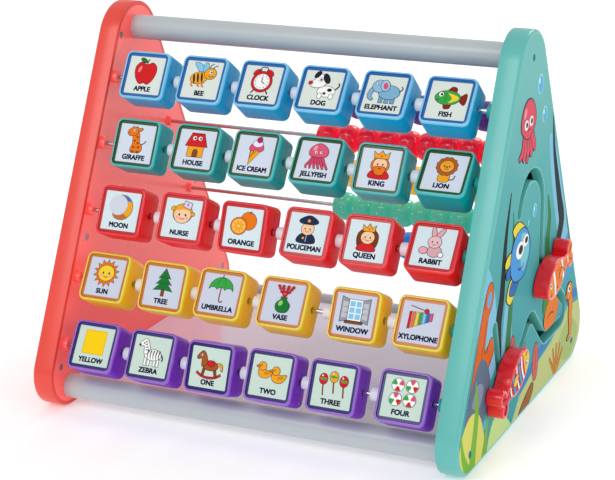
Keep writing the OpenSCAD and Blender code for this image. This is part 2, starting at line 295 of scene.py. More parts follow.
def stroke(points, width, smooth=True):
    """The outline of a line of the given width, or of several widths spread along it."""
    if smooth and len(points) > 2:
        ends = [points[0]] + list(points) + [points[-1]]
        fine = [p for i in range(len(points) - 1) for p in smooth_run(ends[i:i + 4], 6)]
        points = fine + [points[-1]]
    widths = width if isinstance(width, tuple) else (width, width)
    left, right = [], []
    for i, p in enumerate(points):
        a, b = points[max(0, i - 1)], points[min(len(points) - 1, i + 1)]
        run = math.hypot(b[0] - a[0], b[1] - a[1]) or 1.0
        nx, ny = -(b[1] - a[1]) / run, (b[0] - a[0]) / run
        along = i / (len(points) - 1) * (len(widths) - 1)
        k = min(int(along), len(widths) - 2)
        half = (widths[k] + (widths[k + 1] - widths[k]) * (along - k)) / 2
        left.append((p[0] + nx * half, p[1] + ny * half))
        right.append((p[0] - nx * half, p[1] - ny * half))
    return left + right[::-1]


def rounded_square(half_w, half_h, radius, steps=5):
    out = []
    for sx, sy, start in ((1, 1, 0), (-1, 1, 90), (-1, -1, 180), (1, -1, 270)):
        out += arc(sx * (half_w - radius), sy * (half_h - radius), radius, radius,
                   start, start + 90, steps)
    return out


def turns_left(loop):
    """Whether a flat loop runs anticlockwise, from twice its signed area."""
    return sum(a[0] * b[1] - b[0] * a[1] for a, b in zip(loop, loop[1:] + loop[:1])) > 0


def add_prism(bm, outline, low, high, to_world, index):
    """A thin closed plate over a flat outline, from low to high above the drawing plane."""
    if not turns_left(outline):
        outline = outline[::-1]
    bottom = [bm.verts.new(to_world(x, y, low)) for x, y in outline]
    top = [bm.verts.new(to_world(x, y, high)) for x, y in outline]
    count = len(outline)
    sides = [bm.faces.new((bottom[k], bottom[(k + 1) % count], top[(k + 1) % count], top[k]))
             for k in range(count)]
    for face in sides + [bm.faces.new(bottom[::-1]), bm.faces.new(top)]:
        face.material_index = index


def carve(piece, cutter, operation="DIFFERENCE"):
    """Applies a boolean to a piece and removes the cutter."""
    change = piece.modifiers.new("carve", "BOOLEAN")
    change.object = cutter
    change.operation = operation
    change.solver = "EXACT"
    graph = bpy.context.evaluated_depsgraph_get()
    mesh = bpy.data.meshes.new_from_object(piece.evaluated_get(graph))
    piece.modifiers.clear()
    piece.data = mesh
    bpy.data.objects.remove(cutter)
    mesh.shade_smooth()
    mesh.set_sharp_from_angle(angle=math.radians(35))


def x_cylinder(name, x0, x1, y, z, radius, steps=32):
    bm = bmesh.new()
    ring = oval(y, z, radius, steps=steps)
    stack_rings(bm, [[(x, a, b) for a, b in ring] for x in (x0, x1)])
    return finish_mesh(name, bm, [])


def lathe(bm, x, profile, centre, steps=40):
    """A ring turned about X through centre: profile is a closed list of (offset in x, radius)."""
    count = len(profile)
    turned = []
    for k in range(steps):
        a = 2 * math.pi * k / steps
        turned.append([
            bm.verts.new((x + dx, centre[0] + r * math.cos(a), centre[1] + r * math.sin(a)))
            for dx, r in profile])
    for k in range(steps):
        here, there = turned[k], turned[(k + 1) % steps]
        for i in range(count):
            j = (i + 1) % count
            bm.faces.new((here[i], here[j], there[j], there[i]))


def loops_at(node, x):
    """The edge loops, as lists of (y, z), of a CAD node's flat face at that x."""
    bm = bmesh.new()
    bm.from_mesh(nodes[node].data)
    bmesh.ops.remove_doubles(bm, verts=bm.verts[:], dist=1e-6)
    flat = {f for f in bm.faces if all(abs(v.co.x - x) < 1e-5 for v in f.verts)}
    edges = [e for f in flat for e in f.edges if sum(g in flat for g in e.link_faces) == 1]
    follow = {}
    for e in set(edges):
        for v in e.verts:
            follow.setdefault(v, []).append(e.other_vert(v))
    loops, seen = [], set()
    for start in follow:
        if start in seen:
            continue
        loop, at = [], start
        while at is not None:
            seen.add(at)
            loop.append((at.co.y, at.co.z))
            at = next((w for w in follow[at] if w not in seen), None)
        loops.append(loop)
    bm.free()
    loops.sort(key=lambda l: -(max(p[0] for p in l) - min(p[0] for p in l)))
    return loops


def offset_loop(loop, distance):
    """A closed loop moved outwards by a distance, or inwards if it is negative."""
    sign = 1.0 if turns_left(loop) else -1.0
    out = []
    n = len(loop)
    for i, p in enumerate(loop):
        a, b = loop[i - 1], loop[(i + 1) % n]
        u = Vector((p[0] - a[0], p[1] - a[1])).normalized()
        w = Vector((b[0] - p[0], b[1] - p[1])).normalized()
        nu, nw = Vector((u.y, -u.x)) * sign, Vector((w.y, -w.x)) * sign
        mean = nu + nw
        if mean.length < 1e-9:
            mean = nu
        mean.normalize()
        reach = distance / max(0.5, mean.dot(nu))
        out.append((p[0] + mean.x * reach, p[1] + mean.y * reach))
    return out


# -------- places taken from the frame

left_low, left_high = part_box("left_shell")
right_low, right_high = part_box("right_shell")
FACE_X = right_high.x


# -------- the end panels

SHELL_WALL = 3 * MM
EDGE = 2.2 * MM
RIM_EASE = 0.8 * MM
SCREW_HOLE_MAX = 10 * MM
SCREW_HOLE_DEPTH = 8 * MM


def shell_piece(name, node, face_x, rim_x, material):
    """A hollow panel shell with rounded edges, its face at face_x and its rim's edge at rim_x."""
    out = 1.0 if face_x > rim_x else -1.0
    outline = loops_at(node, face_x)[0]

    def ring(inset, depth):
        return [(face_x - out * depth, y, z) for y, z in offset_loop(outline, -inset)]

    depth = abs(face_x - rim_x)
    rings = [
        ring(SHELL_WALL, SHELL_WALL),
        ring(SHELL_WALL, depth - RIM_EASE / 2),
        ring(SHELL_WALL - RIM_EASE / 2, depth),
        ring(RIM_EASE, depth),
        ring(0.25 * MM, depth - 0.25 * MM),
        ring(0, depth - RIM_EASE)]
    for k in range(7):
        a = math.radians(90 * k / 6)
        rings.append(ring(EDGE * (1 - math.cos(a)), EDGE * (1 - math.sin(a))))
    bm = bmesh.new()
    stack_rings(bm, rings)
    piece = finish_mesh(name, bm, [material], 40.0)
    for loop in loops_at(node, face_x)[1:]:
        ys, zs = [p[0] for p in loop], [p[1] for p in loop]
        if max(ys) - min(ys) < SCREW_HOLE_MAX:
            carve(piece, x_cylinder(
                "cut", face_x - out * SCREW_HOLE_DEPTH, face_x + out * MM,
                sum(ys) / len(ys), sum(zs) / len(zs), (max(ys) - min(ys)) / 2))
    return piece


def slot_cutter(*rings):
    """The track's slot as a solid: rings of (x, how far it is spread there)."""
    slot = loops_at("right_shell", FACE_X)[1]
    bm = bmesh.new()
    stack_rings(bm, [[(x, y, z) for y, z in offset_loop(slot, spread)] for x, spread in rings])
    return finish_mesh("slot_cutter", bm, [])


coral = plastic("coral_plastic", "F0584E", rough=0.3, spread=0.03)
# The inner cover's glow is painted light: emission that brightens the cover where the blocks shade
# it.
coral_inner = plastic("coral_inner_plastic", "FA6662", rough=0.26, coat=0.2, spread=0.02, painted_glow=0.28)
teal = plastic("teal_plastic", "6CC0BA", rough=0.3, spread=0.03)
teal_inner = plastic("teal_inner_plastic", "43AEAE", rough=0.3, spread=0.03)

left_panel = shell_piece("left_panel", "left_shell", left_low.x, left_high.x, coral)
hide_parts("left_shell")
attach(left_panel, "frame")

right_panel = shell_piece("right_panel", "right_shell", right_high.x, right_low.x, teal)
TRACK_WALL = 1.5 * MM
TRACK_BACK = FACE_X - 8 * MM
carve(right_panel, slot_cutter((TRACK_BACK, TRACK_WALL), (FACE_X - 1.5 * MM, TRACK_WALL)), "UNION")
carve(right_panel, slot_cutter(
    (TRACK_BACK - 4 * MM, 0), (FACE_X - 0.8 * MM, 0), (FACE_X - 0.2 * MM, 0.25 * MM),
    (FACE_X + 0.6 * MM, 0.7 * MM)))
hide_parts("right_shell")
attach(right_panel, "frame")


def soften(node, width, segments=2, angle=50):
    """Rounds the edges of a CAD node without changing its mesh."""
    piece = nodes[node]
    weld = piece.modifiers.new("weld", "WELD")
    weld.merge_threshold = 1e-6
    flat = piece.modifiers.new("flat", "DECIMATE")
    flat.decimate_type = "DISSOLVE"
    flat.angle_limit = math.radians(0.5)
    edge = piece.modifiers.new("edge", "BEVEL")
    edge.width = width
    edge.segments = segments
    edge.limit_method = "ANGLE"
    edge.angle_limit = math.radians(angle)
    edge.harden_normals = True


def dress(node, material):
    piece = nodes[node]
    piece.data.materials.clear()
    piece.data.materials.append(material)


bar_plastic = plastic("bar_plastic", "C2C9CC", rough=0.32, coat=0.1, spread=0.02)
# The tray's and the spacers' glow is painted light: emission that brightens them without a lamp.
tray_plastic = plastic("tray_plastic", "E2DAE8", rough=0.12, coat=0.6, spread=0.02, painted_glow=0.12)
spacer_plastic = plastic("spacer_plastic", "E4E6EE", rough=0.3, spread=0.02, painted_glow=0.1)
carriage_plastic = plastic("carriage_plastic", "DADADA", rough=0.4)
rod_steel = steel("rod_steel")
screw_steel = steel("screw_steel", "8E9095", 0.35)

for node, material, width in (
        ("left_cover", coral_inner, 0.4 * MM), ("right_cover", teal_inner, 0.4 * MM),
        ("base_tray", tray_plastic, 0.5 * MM), ("block_spacers", spacer_plastic, 0.6 * MM),
        ("top_bar", bar_plastic, None), ("front_bar", bar_plastic, None),
        ("back_bar", bar_plastic, None), ("block_rods", rod_steel, None),
        ("bead_rods", rod_steel, None), ("bar_screws", screw_steel, None),
        ("cover_screws", screw_steel, None), ("upper_carriage", carriage_plastic, None),
        ("lower_carriage", carriage_plastic, None)):
    dress(node, material)
    if width:
        soften(node, width)


# -------- the beads

BEAD_INKS = {
    "purple": glitter_plastic("purple_bead", "44196E", "7A55A8", 0.04),
    "red": glitter_plastic("red_bead", "E01E34", "FF9AA0", 0.03),
    "yellow": glitter_plastic("yellow_bead", "E8B21E", "FFE9A0", 0.05),
    "green": glitter_plastic("green_bead", "42AE96", "9FDCCC", 0.015),
    "blue": glitter_plastic("blue_bead", "1F6FC0", "8CC0F0", 0.05)}
GROUP = 5
BEAD_BORE = 1.7 * MM
BEAD_GAP = 0.15 * MM
BEAD_END = 0.72


def bead_profile(half, radius):
    """A barrel with rounded ends and a bore, as (x, radius) round its half section."""
    end_r = radius * BEAD_END
    outer = []
    for k in range(13):
        t = -1 + 2 * k / 12
        bulge = math.sqrt(1 - (t * 0.92) ** 2)
        outer.append((t * (half - 1.2 * MM), end_r + (radius - end_r) * bulge))
    left = [(-half + 0.4 * MM, BEAD_BORE), (-half, end_r * 0.8), (-half + 0.15 * MM, end_r * 0.92)]
    right = [(-x, r) for x, r in left[::-1]]
    return left + outer + right


def bead_group(name, material):
    low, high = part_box(name)
    length = high.x - low.x
    centre = ((low.y + high.y) / 2, (low.z + high.z) / 2)
    half = length / (GROUP - 0.02) / 2 - BEAD_GAP
    profile = bead_profile(half, (high.z - low.z) / 2)
    bm = bmesh.new()
    for k in range(GROUP):
        lathe(bm, low.x + half + k * (length - 2 * half) / (GROUP - 1), profile, centre)
    group = finish_mesh(name + "_shape", bm, [material], 40.0)
    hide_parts(name)
    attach(group, name[:name.index("_beads") + 6])
    return group


for colour, material in BEAD_INKS.items():
    for side in ("left", "right"):
        bead_group(f"{colour}_beads_{side}", material)


# -------- the flip blocks

BLOCK_DEPTH = 12 * MM
LABEL_DEPTH = BLOCK_DEPTH - 1.2 * MM
EYE_RADIUS = 3 * MM
BLOCK_STYLES = (
    # slot, rim, side (a darker copy of the rim colour: painted shade), frame, label ground
    ("block_blue", "80C6EA", "1C92BE", "1F6CB0", "DCE6DE"),
    ("block_teal", "4EB6BA", "1E8C90", "0B5A34", "D4DEEC"),
    ("block_red", "E8404C", "D22A2A", "C83424", "D8E8EE"),
    ("block_yellow", "E4D048", "DCAA22", "CC7A20", "CDD4E4"),
    ("block_purple", "9468C8", "7440AA", "3A2A74", "CCE0D6"))


# The side walls' material is painted shade: a darker copy of the rim colour of the same plastic.
SHADED_SIDE, RIM, FRAME = 1, 0, 2
# The rings of a half shell from its parting to its label, in millimetres: half width, corner
# radius, depth, and the material of the surface up to the next ring
HALF_SHELL = (
    (18.8, 4.8, 0.03, SHADED_SIDE), (19, 5, 0.2, SHADED_SIDE), (19, 5, 9.8, RIM), (18.88, 4.9, 10.8, RIM),
    (18.55, 4.7, 11.5, RIM), (18.1, 4.3, 11.9, RIM), (17.6, 3.9, 12, RIM),
    (17.25, 3.6, 11.93, FRAME), (17, 3.4, 11.6, FRAME), (16.8, 3.2, 10.8, FRAME))


def half_block(bm, out):
    """One closed half shell: side in its painted-shade colour, rim, recessed frame. out is -1 for
    the front, 1 for the back.
    """
    rings = [[(x * MM, out * depth * MM, z * MM) for x, z in rounded_square(half, half, radius, 6)]
             for half, radius, depth, _ in HALF_SHELL]
    stack_rings(bm, rings, [stage[3] for stage in HALF_SHELL])


def block_mesh(slot, rim, side, frame_colour):
    bm = bmesh.new()
    half_block(bm, -1)
    half_block(bm, 1)
    # The side material is painted shade, a darker copy of the rim colour, with a painted glow that
    # lightens it again; the rim has a faint painted glow too.
    materials = [plastic(slot + "_rim", rim, rough=0.2, coat=0.4, painted_glow=0.06),
                 plastic(slot + "_shaded_side", side, rough=0.3, coat=0.0, painted_glow=0.28, shine=0.15),
                 plastic(slot + "_frame", frame_colour, rough=0.3)]
    piece = finish_mesh(slot, bm, materials, 40.0)
    for s in (-1, 1):
        carve(piece, x_cylinder("eye", s * 17.8 * MM, s * 20 * MM, 0, 0, EYE_RADIUS))
    carve(piece, x_cylinder("bore", -20 * MM, 20 * MM, 0, 0, BEAD_BORE))
    mesh = piece.data
    bpy.data.objects.remove(piece)
    return mesh


def block_turn(node):
    """How far a block is turned about its rod, from the total area of its faces each way."""
    areas = {}
    for polygon in nodes[node].data.polygons:
        n = polygon.normal
        if abs(n.x) < 0.01 and n.y < -0.2:
            key = (round(n.y, 3), round(n.z, 3))
            areas[key] = areas.get(key, 0.0) + polygon.area
    n_y, n_z = max(areas, key=areas.get)
    return math.atan2(-n_z, -n_y)


def block_matrix(node):
    pin = Vector(joints[node + "_turn"]["pos_m"])
    low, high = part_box(node)
    pin.x = (low.x + high.x) / 2
    return Matrix.Translation(pin) @ Matrix.Rotation(block_turn(node), 4, "X")


# -------- pictures, in millimetres

DARK, WHITE, RED, ORANGE = "2B2430", "FAFAF7", "D3262B", "E9791E"
GOLD, YELLOW, GREEN, LEAF = "F0A62A", "F6D23C", "3DA648", "1F7A35"
BLUE, SKY, BROWN, PINK = "2E74C8", "86C8EA", "8A4B24", "E0527C"
SKIN, GREY, ROSE, NAVY = "F6CDA4", "BFC3CC", "F3A5B4", "27304F"
CAPTION = "14173A"


class Picture:
    """Flat shapes in millimetres, each drawn over the ones before, as (colour, outline)."""

    def __init__(self):
        self.shapes = []

    def add(self, code, *outlines):
        self.shapes += [(code, outline) for outline in outlines]
        return self

    def edged(self, code, *outlines, line=0.32):
        for outline in outlines:
            self.add(DARK, offset_loop(outline, line))
            self.add(code, outline)
        return self

    def line(self, points, width=0.45, code=DARK, smooth=True):
        return self.add(code, stroke(points, width, smooth))

    def eye(self, x, y, r=1.0):
        return self.edged(WHITE, oval(x, y, r), line=0.2).add(DARK, oval(x + 0.2 * r, y, 0.55 * r))

    def head(self, x, y, r, code=SKIN):
        """A plain round face: dots for eyes and a curved line for the mouth."""
        self.edged(code, oval(x, y, r, 0.9 * r))
        self.add(DARK, *[oval(x + s * 0.38 * r, y, 0.1 * r, 0.14 * r) for s in (-1, 1)])
        self.add(ROSE, *[oval(x + s * 0.6 * r, y - 0.3 * r, 0.15 * r) for s in (-1, 1)])
        return self.line(arc(x, y - 0.25 * r, 0.3 * r, 0.22 * r, 200, 340, 8), 0.09 * r, RED, False)

    def crown(self, x, y, w, h):
        points = [(x - w, y), (x - 1.15 * w, y + h), (x - 0.5 * w, y + 0.5 * h), (x, y + 1.2 * h),
                  (x + 0.5 * w, y + 0.5 * h), (x + 1.15 * w, y + h), (x + w, y)]
        return self.edged(GOLD, points).add(RED, oval(x, y + 0.35 * h, 0.13 * w))


def box_shape(x0, y0, x1, y1):
    return [(x0, y0), (x1, y0), (x1, y1), (x0, y1)]


def apple(p):
    p.edged(RED, blob((0, 7.6), (4.5, 9.2), (8, 5.5), (7.2, -1), (3.4, -6), (0, -5.2), (-3.4, -6),
                      (-7.2, -1), (-8, 5.5), (-4.5, 9.2)))
    p.add("EE8A7E", oval(-4.6, 4.2, 1.1, 2.4, -20))
    p.line([(0, 7.2), (0.3, 9.5), (1.2, 11.6)], 0.9, BROWN)
    p.edged(LEAF, oval(-2.7, 10.6, 2.7, 1.2, -25))


def bee(p):
    p.edged(SKY, blob((-1.5, 4.5), (-6.5, 9.5), (-7.5, 12), (-3.5, 11.5), (0, 8)),
            blob((0, 5), (-0.5, 11), (1.8, 12.2), (3, 8)))
    for x in (-6.5, -1.5, 1.5):
        p.line([(x, -1.5), (x - 1, -4), (x + 0.6, -5)], 1.1, ORANGE)
    p.edged(GOLD, oval(-2.6, 1.2, 6.4, 4.2, 12))
    for x in (-6.2, -3.4, -0.6):
        p.add(DARK, oval(x, 0.9 + 0.2 * x + 0.9, 0.75, 3.6, 12))
    p.edged(GOLD, oval(5.2, 4.8, 4.3, 3.9))
    p.line([(4, 8), (4.4, 10.4), (6.4, 11.8)]).line([(6.4, 8), (7.4, 9.8), (9.6, 10.6)])
    p.eye(5.6, 5.8, 1.3)
    p.line(arc(6, 3.6, 1.9, 1.2, 200, 340, 8), 0.4, DARK, False)


def clock(p):
    for s in (-1, 1):
        p.line([(s * 4, -3.6), (s * 6, -6.6)], 0.9)
        p.edged(RED, oval(s * 4.6, 8.4, 3, 1.9, -s * 35))
    p.line([(-3, 9.8), (-1.8, 12.2), (1.8, 12.2), (3, 9.8)], 0.6)
    p.edged(RED, oval(0, 2, 7.4))
    p.edged(WHITE, oval(0, 2, 5.6))
    for k in range(12):
        a = math.radians(30 * k)
        p.add(NAVY, oval(4.5 * math.cos(a), 2 + 4.5 * math.sin(a), 0.34, steps=10))
    p.line([(0, 2), (0, 5.4)], 0.5).line([(0, 2), (2.4, 0.6)], 0.5)


def dog(p):
    p.edged(WHITE, oval(3.4, -1.2, 6.2, 3.8), oval(-0.6, -4.6, 1.4, 2), oval(7.4, -4.6, 1.4, 2))
    p.line([(9.4, 0.4), (11.6, 3.2), (11, 5.4)], 0.9)
    p.add(DARK, oval(5.6, 0, 1.7, 1.2), oval(2.4, -2.6, 1.1, 0.9))
    p.edged(WHITE, blob((-9.5, 3.5), (-6, 1.2), (-0.5, 1.8), (2.6, 5.5), (0.5, 10), (-4, 10.4),
                        (-6, 7)))
    p.edged(DARK, oval(1.8, 8, 1.9, 3.7, 30), oval(-5, 10.4, 1.5, 2.8, -35))
    p.eye(-2.2, 6.8, 1.5)
    p.edged(RED, oval(-8.8, 4.2, 1.3, 1.1))


def elephant(p):
    for x in (-1.6, 2.4, 6.4):
        p.edged("6FA3C7", box_shape(x - 1.3, -6.2, x + 1.3, -0.5))
    p.edged("7FB2D3", oval(3, 1.6, 7.2, 5))
    p.line([(9.6, 2.4), (11.6, 4.6), (10.8, 6.4)], 0.7)
    p.edged("7FB2D3", stroke([(-6.4, 5), (-9.4, 1.5), (-9.8, -2.6), (-7.4, -4.4)], (3.4, 2.6, 1.6)))
    p.edged("8DBEDC", oval(-4.6, 5.6, 4.6, 4.4))
    p.edged("9CCBE4", oval(-0.6, 6.2, 3, 4, 15))
    p.add(PINK, oval(-0.4, 6, 1.6, 2.5, 15))
    p.eye(-6, 7, 0.9)


def fish_picture(p):
    p.edged("8E2A22", blob((6.4, 1.6), (10.8, 5.6), (11.6, 1.6), (10.4, -2.4)),
            blob((-2, 5.4), (0.6, 9.6), (4, 8.6), (3, 4.6)),
            blob((-2.6, -1.6), (-2, -5.6), (1.6, -5), (1.4, -1.4)))
    p.edged(GREEN, oval(-1, 2, 8.4, 4.9))
    p.add(YELLOW, blob((-1, 5.2), (5.6, 3.2), (5.6, 0.6), (0, -1.6), (2, 1.6)))
    p.line(arc(-4.4, 2, 2.4, 3.6, -60, 60, 8), 0.4, LEAF, False)
    p.eye(-5.6, 4, 1.6)
    p.line([(-8.4, 0), (-6.6, 0.2)], 0.5)


def giraffe(p):
    p.line([(4, -0.6), (6.6, 1), (7.4, 2.6)], 0.7)
    p.edged(ORANGE, blob((-2.8, 6), (1.4, 7), (2.6, 1), (4.8, -1.6), (4, -5.6), (-3.4, -5.6),
                         (-2.6, 0)))
    for s in (-1, 1):
        p.line([(-2.4 + s, 9.6), (-2.4 + 1.6 * s, 12)], 0.7, BROWN)
        p.add(BROWN, oval(2.0 * s + 0.3, -5.8, 1.5, 0.9))
    p.edged(ORANGE, oval(-3.2, 8.2, 4.4, 2.9, 20))
    p.edged(ORANGE, oval(1.8, 9.6, 1.8, 0.9, 30))
    for x, y in ((0.4, 4.6), (-1.2, 1.8), (1.4, 0.4), (-1.4, -2.6), (2.4, -2.4)):
        p.add(BROWN, oval(x, y, 0.85, 0.7))
    p.eye(-2.4, 9, 0.9)
    p.add(BROWN, oval(-6.2, 7.2, 0.4))


def house(p):
    p.edged(GOLD, box_shape(-5.8, -5.4, 5.8, 2.4))
    p.edged(RED, [(-8, 2), (8, 2), (4.6, 10.6), (-4.6, 10.6)])
    p.add("A81E22", box_shape(-5, 10.2, 5, 11.2))
    p.eye(-2.1, 7.4, 1.4).eye(2.1, 7.4, 1.4)
    p.edged(BROWN, [(-1.6, -5.2)] + arc(0, -2, 1.6, 1.6, 180, 0, 10) + [(1.6, -5.2)])


def ice_cream(p):
    p.edged(GOLD, [(-3.6, 3.4), (4.4, 3.8), (-3.6, -7)])
    for k in range(3):
        p.line([(-3.4 + 2.2 * k, 3), (-3.6 + 0.4 * k, -4.6 + 2.2 * k)], 0.35, BROWN, False)
    p.edged(PINK, blob((-4.6, 4), (-3, 7.4), (3.8, 7.8), (5.4, 4.2), (2.8, 2.8), (0.4, 4),
                       (-2, 2.8)))
    p.edged("F1E6F2", oval(0.8, 8, 3.6, 2.4))
    p.edged("B82565", oval(1.6, 10.6, 1.8))
    p.line([(1.8, 11.8), (2.8, 13)], 0.4)


def jellyfish(p):
    for k in range(6):
        x = -6 + 2.4 * k
        p.edged("D8476A", stroke([(x * 0.5, 3), (x * 0.9, -1.6), (x * 1.15, -3.6),
                                  (x * 1.25 + 0.8, -5.6)],
                                 (1.9, 1.5, 1.0)), line=0.25)
    p.edged("E25A78", blob((-6, 3.6), (-5.8, 8.6), (0, 12), (5.8, 8.6), (6, 3.6), (0, 2.4)))
    p.add("F3A0AE", oval(-3, 8.6, 1.2, 1.9, -30))
    p.eye(-1.8, 5.8, 1.0).eye(1.8, 5.8, 1.0)


def king(p):
    p.edged(RED, blob((-6.6, -6), (6.6, -6), (4.4, -1), (-4.4, -1)))
    p.edged(ORANGE, oval(0, 2.4, 6.2, 5.4))
    p.head(0, 3, 4.8)
    p.edged(ORANGE, blob((-4, 0.6), (0, 1.6), (4, 0.6), (2.2, -3.6), (-2.2, -3.6)))
    p.add(RED, oval(0, 0.4, 1.2, 0.5))
    p.crown(0, 7, 4.6, 4.2)


def lion(p):
    p.edged(GOLD, blob((-3.4, -6), (3.4, -6), (2.6, 1), (-2.6, 1)))
    mane = [(0.3 + (6.6 + 0.6 * (k % 2)) * math.cos(math.pi * k / 12),
             4.6 + (6.2 + 0.6 * (k % 2)) * math.sin(math.pi * k / 12)) for k in range(24)]
    p.edged("B5602A", mane)
    p.head(0.3, 4.6, 4.6, GOLD)
    p.add(BROWN, oval(0.3, 4, 0.8, 0.6))
    p.line([(3.4, -5), (6.4, -4.4), (7.2, -1.6)], 0.7, BROWN)


def moon(p):
    p.edged(GOLD, arc(0, 2.6, 8.4, 8.4, -130, 95, 26) + arc(-2.6, 4, 7, 7, 80, -120, 22))
    p.add(BLUE, arc(0, 2.6, 8.2, 8.2, 30, 94, 12) + arc(-2.6, 4, 7.1, 7.1, 79, 28, 8))
    p.add("B9703A", arc(0, 2.6, 8.2, 8.2, -128, -50, 12) + arc(-2.6, 4, 7.1, 7.1, -50, -118, 8))
    p.add("D2D6E2", oval(-2.6, 4, 6.9))


def nurse(p):
    p.edged(GOLD, oval(0, 3.6, 7.2, 6.4), oval(-7.4, 6.4, 1.6, 1.2, 40), oval(7.4, 3.6, 1.4, 1.2))
    p.head(0, 2.6, 6.2)
    p.add(GOLD, blob((-6, 5), (-3.6, 8.4), (2, 9), (5.8, 5.6), (0, 6.4)))
    p.edged("D7D2EE", [(0, 8.2), (5.4, 6.8), (6, 10.6), (0.6, 12)])
    p.add(PINK, box_shape(2.6, 8.6, 3.2, 10.6), box_shape(1.9, 9.3, 3.9, 9.9))


def orange(p):
    p.edged(ORANGE, oval(3.4, 4.8, 5.8), oval(-3.2, 1, 5.8, 5.6))
    p.add("F8C66A", oval(-3.2, 1, 4.8, 4.6))
    for k in range(8):
        a = math.pi * k / 4 + 0.3
        p.add(GOLD, oval(-3.2 + 2.7 * math.cos(a), 1 + 2.6 * math.sin(a), 1.7, 0.8, 45 * k + 17))
    p.line([(4, 9.6), (5, 11.4)], 0.7, BROWN)


def policeman(p):
    p.edged(NAVY, blob((-6, -6), (6, -6), (4, -0.6), (-4, -0.6)))
    p.head(0, 3, 4.4)
    p.edged(NAVY, blob((-6.4, 8.6), (0, 11.8), (6.4, 8.6), (4.4, 6.4), (-4.4, 6.4)))
    p.add(GOLD, oval(0, 8.4, 1), oval(-2, -3.2, 0.8))
    p.line([(0, -1), (0, -5.6)], 0.4, GREY, False)


def queen(p):
    p.edged("7A3B1E", blob((-6, -3.6), (-6.8, 4.6), (0, 9), (6.8, 4.6), (6, -3.6), (0, -1)))
    p.edged(RED, blob((-6, -6.2), (6, -6.2), (3.4, -1.6), (-3.4, -1.6)))
    p.head(0, 2.4, 4.6)
    p.crown(0, 6.4, 3.8, 4)


def rabbit(p):
    for x, lean in ((-1.6, 12), (2.6, -34)):
        p.edged("DDAAB2", oval(x, 9.4, 1.5, 4.4, lean))
        p.add(ROSE, oval(x, 9.4, 0.7, 3.2, lean))
    p.edged("DDAAB2", oval(1, -2.6, 4.6, 3.8))
    p.head(0, 3.6, 4.4, "E8C0C4")
    p.edged(ROSE, oval(-6.4, -2.6, 2.8, 2.2))
    p.edged(WHITE, oval(5.6, -4.6, 1.5))


def sun(p):
    p.edged(ORANGE, [((6.4 + 3 * (k % 2)) * math.cos(math.pi * k / 14),
                      3 + (6.4 + 3 * (k % 2)) * math.sin(math.pi * k / 14)) for k in range(28)])
    p.head(0, 3, 6, YELLOW)


def tree(p):
    p.edged(BROWN, box_shape(-1, -6, 1, -1))
    for y, half, rise in ((-2.4, 7, 7.4), (1.8, 5.6, 6.4), (5.8, 4.2, 6.4)):
        p.edged(LEAF, [(-half, y), (0, y + 0.8), (half, y), (0, y + rise)])


def umbrella(p):
    p.line([(0, 6), (0, -3.6), (1.2, -5.4), (2.8, -4.4)], 0.9, BROWN)
    p.edged(GREEN, arc(0, 3, 8.6, 8, 180, 0, 20) + arc(5.7, 3, 2.7, 1.4, 0, 180, 6)
            + arc(0, 3, 2.7, 1.4, 0, 180, 6) + arc(-5.7, 3, 2.7, 1.4, 0, 180, 6))
    p.line(arc(0, 3.6, 3, 7.4, 170, 10, 12), 0.35, LEAF, False)
    p.line([(0, 11), (0, 13)], 0.6)


def vase(p):
    for lean in (-5, -2, 1.6, 5):
        p.line([(0, 3), (0.5 * lean, 7), (lean, 10.6)], 0.8, RED)
        for k in (0.55, 0.8, 1.0):
            p.edged(RED, oval(lean * k, 3 + 7.8 * k, 1.0, 0.8), line=0.2)
    p.edged(LEAF, blob((-1.8, 3.6), (1.8, 3.6), (1.6, 2.4), (4.8, -1.4), (3, -5.8), (-3, -5.8),
                       (-4.8, -1.4),
                       (-1.6, 2.4)))
    p.add("9CCB6A", oval(-1.6, -0.4, 1.4, 1.9, -20))


def window(p):
    p.edged("9A9AA6", [(-9.6, 11), (-4.4, 9.4), (-4.4, -3.4), (-9.6, -5)],
            [(9.6, 11), (4.4, 9.4), (4.4, -3.4), (9.6, -5)])
    p.edged(WHITE, box_shape(-4.6, -3.6, 4.6, 9.6))
    for x in (-3.9, 0.4):
        for y in (-2.8, 1.2, 5.3):
            p.add(SKY, box_shape(x, y, x + 3.5, y + 3.4))
    for s in (-1, 1):
        for y in (-2, 1.6, 5.2):
            p.add(GREY, [(s * 8.8, y - 0.6), (s * 5.2, y), (s * 5.2, y + 2.6), (s * 8.8, y + 3)])
    p.edged(BROWN, box_shape(-6, -5.4, 6, -4.2))


def xylophone(p):
    for k, code in enumerate((RED, ORANGE, YELLOW, GREEN, SKY, BLUE, PINK)):
        x, half = -7.8 + 2.3 * k, 5.4 - 0.5 * k
        p.edged(code, [(x - 0.8, 1 - half + 0.5 * k), (x + 0.8, 1.4 - half + 0.5 * k),
                       (x + 0.8, 1.4 + half + 0.5 * k), (x - 0.8, 1 + half + 0.5 * k)], line=0.2)
    p.line([(-8.4, 10.4), (1.6, 8)], 0.5, BROWN, False)
    p.edged(RED, oval(2.4, 7.8, 1.3))


def yellow(p):
    p.add("E8B90E", box_shape(-8.2, -5.6, 8.2, 10.8)).add("FFD21C", box_shape(-7.6, -5, 7.6, 10.2))


